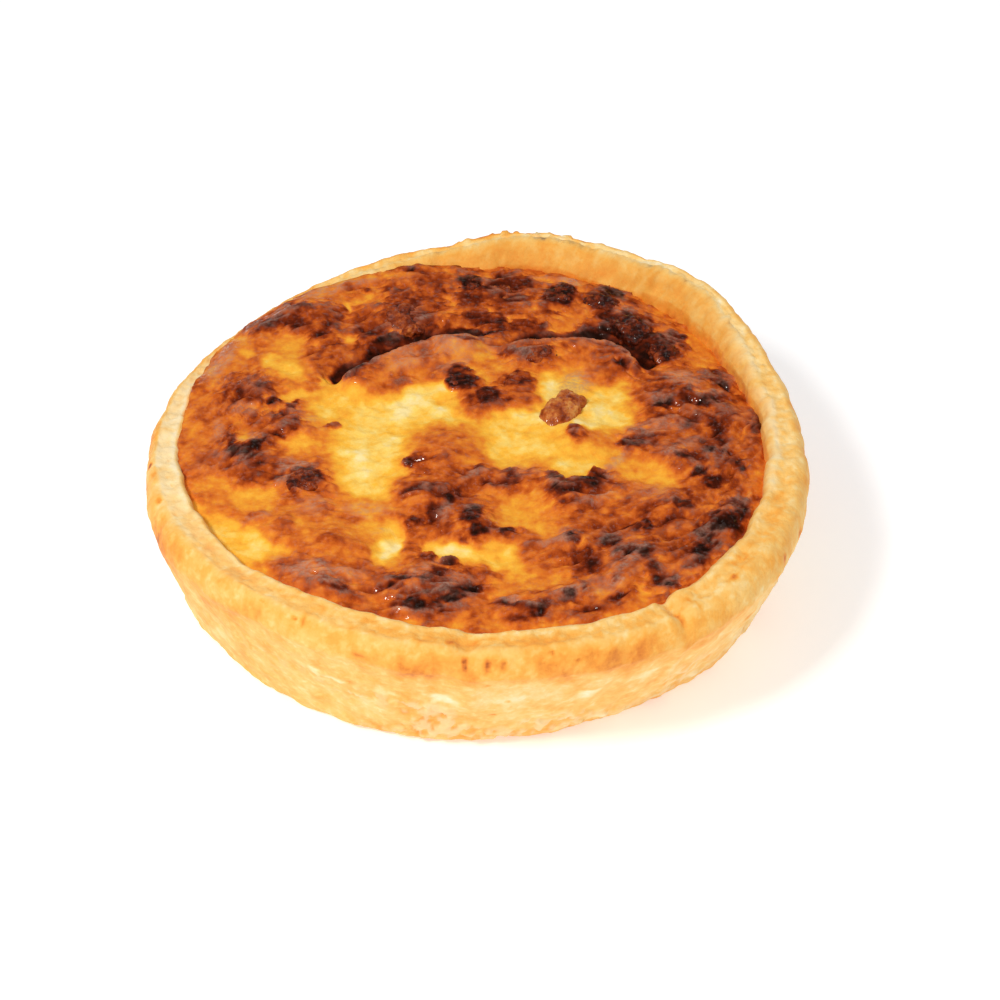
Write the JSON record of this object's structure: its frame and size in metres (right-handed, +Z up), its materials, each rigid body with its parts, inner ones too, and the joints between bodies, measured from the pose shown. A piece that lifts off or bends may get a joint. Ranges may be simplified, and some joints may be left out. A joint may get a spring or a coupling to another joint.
{
  "type": "quiche",
  "caption": "Small round quiche in a shortcrust case with an uneven cut rim, browned egg and cheese filling and bacon pieces.",
  "frame": {"origin": "under the middle of the outline, on the surface that the base stands on", "axes": "+Z up; -Y is the front, the side nearest the camera in the picture; +X is to the right seen from the front"},
  "size_m": [0.1178, 0.1222, 0.0341],
  "materials": {
    "pastry": "matte baked shortcrust",
    "custard": "browned, slightly oily",
    "bacon": "fried, oily"
  },
  "bodies": {
    "root": {"crust": "pastry", "filling": "custard", "bacon_middle": "bacon", "bacon_twin_upper": "bacon", "bacon_twin_lower": "bacon", "bacon_arch": "bacon", "bacon_lip": "bacon", "bacon_back_left": "bacon", "bacon_back_middle": "bacon", "bacon_back_right": "bacon", "bacon_rear": "bacon", "bacon_rear_twin_1": "bacon", "bacon_rear_twin_2": "bacon", "bacon_rear_left": "bacon", "bacon_left": "bacon"}
  },
  "joints": []
}
